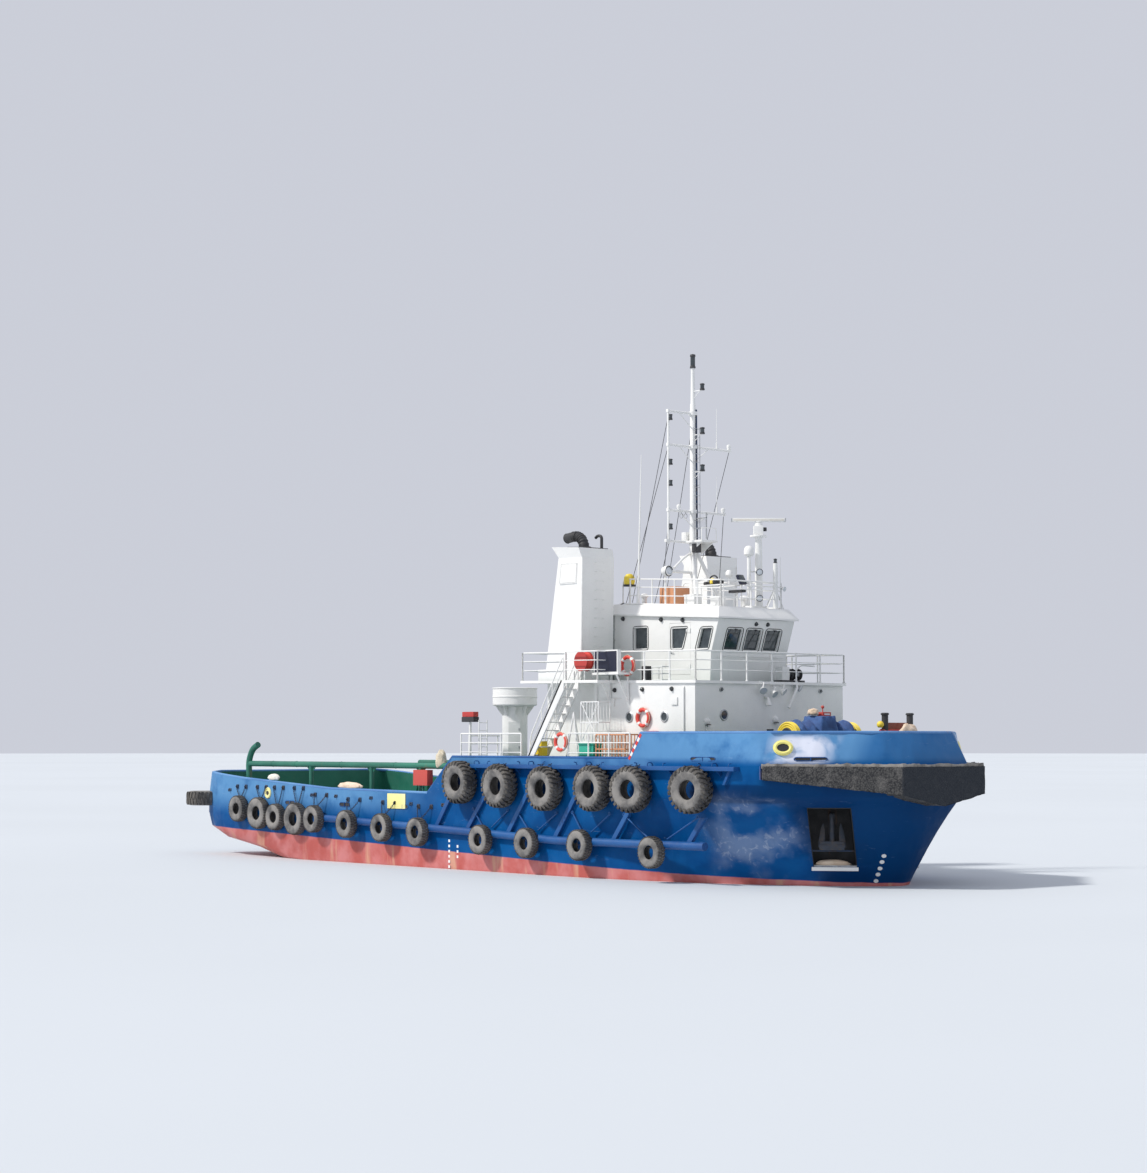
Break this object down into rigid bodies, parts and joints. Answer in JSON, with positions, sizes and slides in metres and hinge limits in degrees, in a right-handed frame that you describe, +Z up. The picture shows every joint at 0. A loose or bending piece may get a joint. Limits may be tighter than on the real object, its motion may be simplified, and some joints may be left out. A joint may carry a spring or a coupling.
{
  "type": "anchor-handling tugboat",
  "caption": "Steel tugboat afloat: flared blue hull with tyre fenders, aft cargo deck, white deckhouse and wheelhouse, mast, funnels, propellers and rudders.",
  "frame": {"origin": "centreline of the hull at the waterline, 17 m aft of the stem's waterline point", "axes": "+X to the bow, +Y to port, +Z up"},
  "size_m": [39.7999, 11.9448, 23.15],
  "materials": {
    "blue_paint": "weathered satin",
    "white_paint": "satin",
    "green_paint": "satin",
    "red_paint": "matte",
    "black_paint": "matte",
    "black_rubber": "rough",
    "bronze": "satin",
    "bare_steel": "worn",
    "glass": "tinted"
  },
  "bodies": {
    "boat": {"hull": "blue_paint", "bow_fender": "black_rubber", "fender_upper_stbd": "blue_paint", "fender_lower_stbd": "blue_paint", "tyre_stern_stbd": "black_rubber", "tyre_aft_stbd_1": "black_rubber", "tyre_aft_stbd_2": "black_rubber", "tyre_aft_stbd_3": "black_rubber", "tyre_aft_stbd_4": "black_rubber", "fender_upper_port": "blue_paint", "fender_lower_port": "blue_paint", "tyre_stern_port": "black_rubber", "tyre_aft_port_1": "black_rubber", "tyre_aft_port_2": "black_rubber", "tyre_aft_port_3": "black_rubber", "tyre_aft_port_4": "black_rubber", "deckhouse": "white_paint", "boat_deck": "white_paint", "rails_boat_deck_aft": "white_paint", "rails_boat_deck_fore": "white_paint", "wheelhouse": "white_paint", "wheelhouse_roof": "white_paint", "rails_wheelhouse_roof": "white_paint", "mast": "white_paint", "radar_post": "white_paint", "tub_on_pedestal": "white_paint", "glass_front": "glass", "glass_aft": "glass", "towing_winch": "green_paint", "windlass": "red_paint", "mooring_bitts": "black_paint", "stair_stbd": "white_paint", "funnel_stbd": "white_paint", "exhaust_stbd": "black_paint", "anchor_stbd": "black_paint", "glass_side_aft_stbd": "glass", "glass_side_fore_stbd": "glass", "crash_rail_stbd": "green_paint", "nozzle_stbd": "red_paint", "stair_port": "white_paint", "funnel_port": "white_paint", "exhaust_port": "black_paint", "anchor_port": "black_paint", "glass_side_aft_port": "glass", "glass_side_fore_port": "glass", "crash_rail_port": "green_paint", "nozzle_port": "red_paint"},
    "propeller_stbd": {"propeller_stbd": "bronze"},
    "propeller_port": {"propeller_port": "bronze"},
    "rudder_stbd": {"rudder_stbd": "red_paint"},
    "rudder_port": {"rudder_port": "red_paint"},
    "radar_scanner": {"radar_scanner": "white_paint"},
    "wheelhouse_door_stbd": {"wheelhouse_door_stbd": "white_paint", "glass_door_stbd": "glass"},
    "wheelhouse_door_port": {"wheelhouse_door_port": "white_paint", "glass_door_port": "glass"},
    "deckhouse_door": {"deckhouse_door": "white_paint"},
    "towing_winch_drum": {"towing_winch_drum": "bare_steel"}
  },
  "joints": [
    {"name": "propeller_stbd_spin", "type": "hinge", "parent": "boat", "child": "propeller_stbd", "pos_m": [-15, -2.35, -2.05], "axis": [1, 0, 0], "continuous": true},
    {"name": "rudder_stbd_steer", "type": "hinge", "parent": "boat", "child": "rudder_stbd", "pos_m": [-16.35, -2.35, -1], "axis": [0, 0, 1], "range_deg": [-35, 35]},
    {"name": "propeller_port_spin", "type": "hinge", "parent": "boat", "child": "propeller_port", "pos_m": [-15, 2.35, -2.05], "axis": [1, 0, 0], "continuous": true},
    {"name": "rudder_port_steer", "type": "hinge", "parent": "boat", "child": "rudder_port", "pos_m": [-16.35, 2.35, -1], "axis": [0, 0, 1], "range_deg": [-35, 35]},
    {"name": "radar_scan", "type": "hinge", "parent": "boat", "child": "radar_scanner", "pos_m": [8.95, 0.9, 13.15], "axis": [0, 0, 1], "continuous": true},
    {"name": "wheelhouse_door_stbd_swing", "type": "hinge", "parent": "boat", "child": "wheelhouse_door_stbd", "pos_m": [8.252, -1.9763, 8.4], "axis": [0, 0, 1], "range_deg": [0, 100]},
    {"name": "wheelhouse_door_port_swing", "type": "hinge", "parent": "boat", "child": "wheelhouse_door_port", "pos_m": [8.252, 1.9763, 8.4], "axis": [0, 0, -1], "range_deg": [0, 100]},
    {"name": "deckhouse_door_swing", "type": "hinge", "parent": "boat", "child": "deckhouse_door", "pos_m": [1.2337, -0.412, 5.4], "axis": [0, 0, 1], "range_deg": [0, 110]},
    {"name": "winch_drum_spin", "type": "hinge", "parent": "boat", "child": "towing_winch_drum", "pos_m": [-4.6, 0, 3], "axis": [0, 1, 0], "continuous": true}
  ]
}
